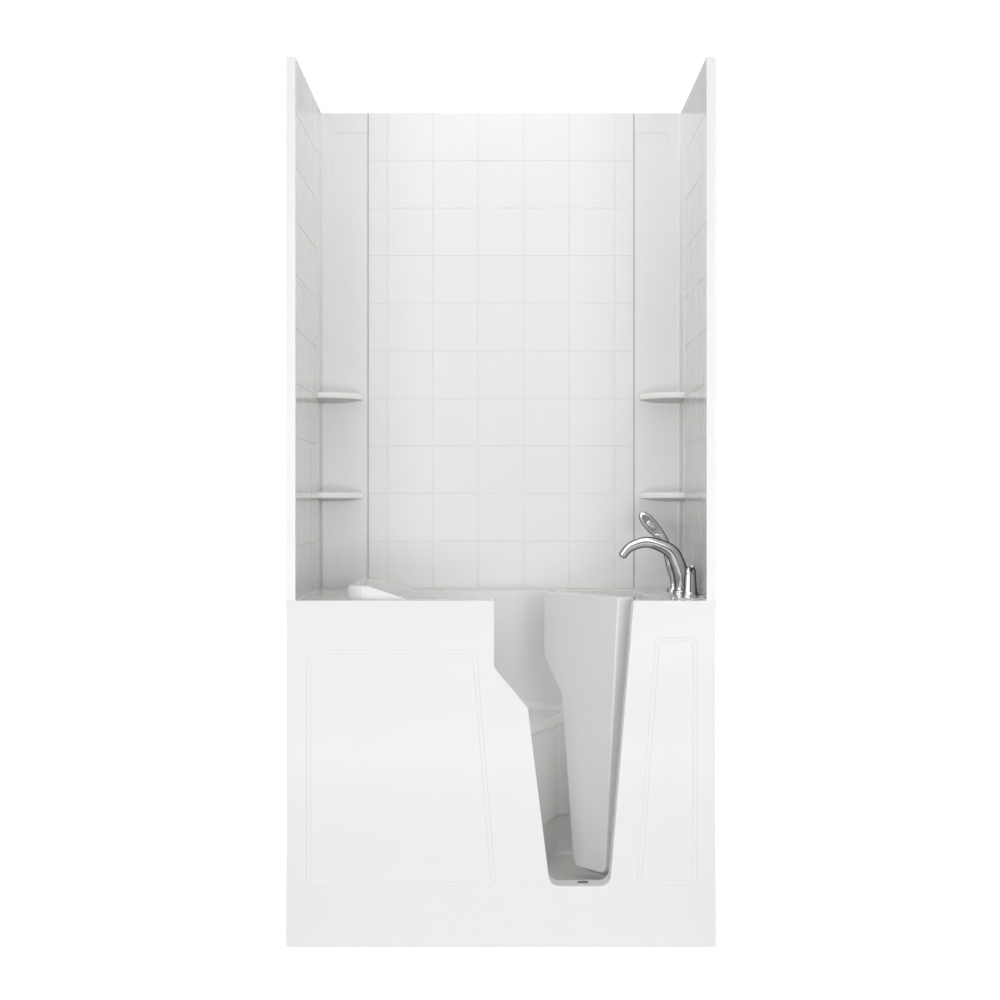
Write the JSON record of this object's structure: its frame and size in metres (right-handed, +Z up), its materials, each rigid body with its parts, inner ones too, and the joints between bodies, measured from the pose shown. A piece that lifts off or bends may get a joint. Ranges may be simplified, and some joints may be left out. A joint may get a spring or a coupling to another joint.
{
  "type": "walk-in bathtub with wall surround",
  "caption": "Walk-in bathtub with a notched inward-opening door, moulded seat, tiled wall surround with corner shelves and deck-mounted tub filler.",
  "frame": {"origin": "on the floor, under the centre of the tub's overall width and depth", "axes": "+X to the right seen from the front, +Y from the apron to the back wall, +Z up"},
  "size_m": [1.194, 0.762, 2.477],
  "materials": {
    "tub_acrylic": "moulded gloss white acrylic",
    "wall_acrylic": "gloss white tile-pattern acrylic panel",
    "chrome": "polished chrome plate",
    "stainless": "brushed stainless steel",
    "frame_paint": "grey powder-coated square tube",
    "brass": "machined brass and copper",
    "waste_plastic": "white waste fittings",
    "rubber": "grey silicone",
    "grey_plastic": "satin grey plastic"
  },
  "bodies": {
    "root": {"tub_shell": "tub_acrylic", "front_apron": "tub_acrylic", "door_frame": "tub_acrylic", "upper_jamb_hinge": "stainless", "lower_jamb_hinge": "stainless", "upper_hinge_pin": "stainless", "lower_hinge_pin": "stainless", "latch_keeper": "stainless", "sill_strainer": "chrome", "drain_flange": "chrome", "drain_shoe": "waste_plastic", "waste_pipe": "waste_plastic", "waste_tee": "waste_plastic", "tailpiece": "waste_plastic", "overflow_pipe": "waste_plastic", "overflow_elbow": "waste_plastic", "overflow_plate": "chrome", "base_frame": "frame_paint", "upright_posts": "frame_paint", "top_rails": "frame_paint", "seat_support": "frame_paint", "foot_1": "stainless", "foot_2": "stainless", "foot_3": "stainless", "foot_4": "stainless", "foot_5": "stainless", "foot_6": "stainless", "foot_nuts": "stainless", "back_panel": "wall_acrylic", "left_corner_panel": "wall_acrylic", "right_corner_panel": "wall_acrylic", "left_side_panel": "wall_acrylic", "right_side_panel": "wall_acrylic", "left_lower_shelf": "wall_acrylic", "right_lower_shelf": "wall_acrylic", "left_upper_shelf": "wall_acrylic", "right_upper_shelf": "wall_acrylic", "seam_strips": "rubber", "spout": "chrome", "spout_ring": "chrome", "spout_aerator": "grey_plastic", "mixer_body": "chrome", "mixer_valve": "brass", "hand_shower_guide": "chrome", "deck_nuts": "brass", "supply_pipes": "brass"},
    "door": {"door_panel": "tub_acrylic", "door_inner_panel": "tub_acrylic", "door_seal": "rubber", "upper_door_hinge": "stainless", "lower_door_hinge": "stainless", "latch_plate": "stainless"},
    "latch": {"latch_tongue": "stainless", "latch_lever": "stainless"},
    "mixer_cap": {"mixer_hub": "chrome"},
    "mixer_handle": {"mixer_lever": "chrome"},
    "shower_wand": {"hand_shower": "chrome", "hand_shower_face": "grey_plastic"},
    "overflow_dial": {"overflow_knob": "chrome"},
    "stopper": {"drain_stopper": "chrome"}
  },
  "joints": [
    {"name": "door_hinge", "type": "hinge", "parent": "root", "child": "door", "pos_m": [0.39, -0.2825, 0.6], "axis": [0, 0, -1], "range_deg": [-57, 28]},
    {"name": "latch_turn", "type": "hinge", "parent": "door", "child": "latch", "pos_m": [0.1954, 0.03827, 0.872], "axis": [0.8387, 0.5446, 0], "range_deg": [0, 90]},
    {"name": "mixer_turn", "type": "hinge", "parent": "root", "child": "mixer_cap", "pos_m": [0.548, -0.169, 1.03], "axis": [0, 0, 1], "range_deg": [-80, 10]},
    {"name": "mixer_lift", "type": "hinge", "parent": "mixer_cap", "child": "mixer_handle", "pos_m": [0.548, -0.169, 1.042], "axis": [-1, 0, 0], "range_deg": [0, 25]},
    {"name": "hand_shower_lift", "type": "slide", "parent": "root", "child": "shower_wand", "axis": [0, 0, 1], "range_m": [0, 0.12]},
    {"name": "overflow_knob_turn", "type": "hinge", "parent": "root", "child": "overflow_dial", "pos_m": [0.41, -0.081, 0.85], "axis": [1, 0, 0], "range_deg": [0, 90]},
    {"name": "stopper_lift", "type": "slide", "parent": "root", "child": "stopper", "axis": [0, 0, 1], "range_m": [0, 0.008]}
  ],
  "couplings": [
    {"joint": "overflow_knob_turn", "follows": "stopper_lift", "rad_per_m": 196.35}
  ]
}
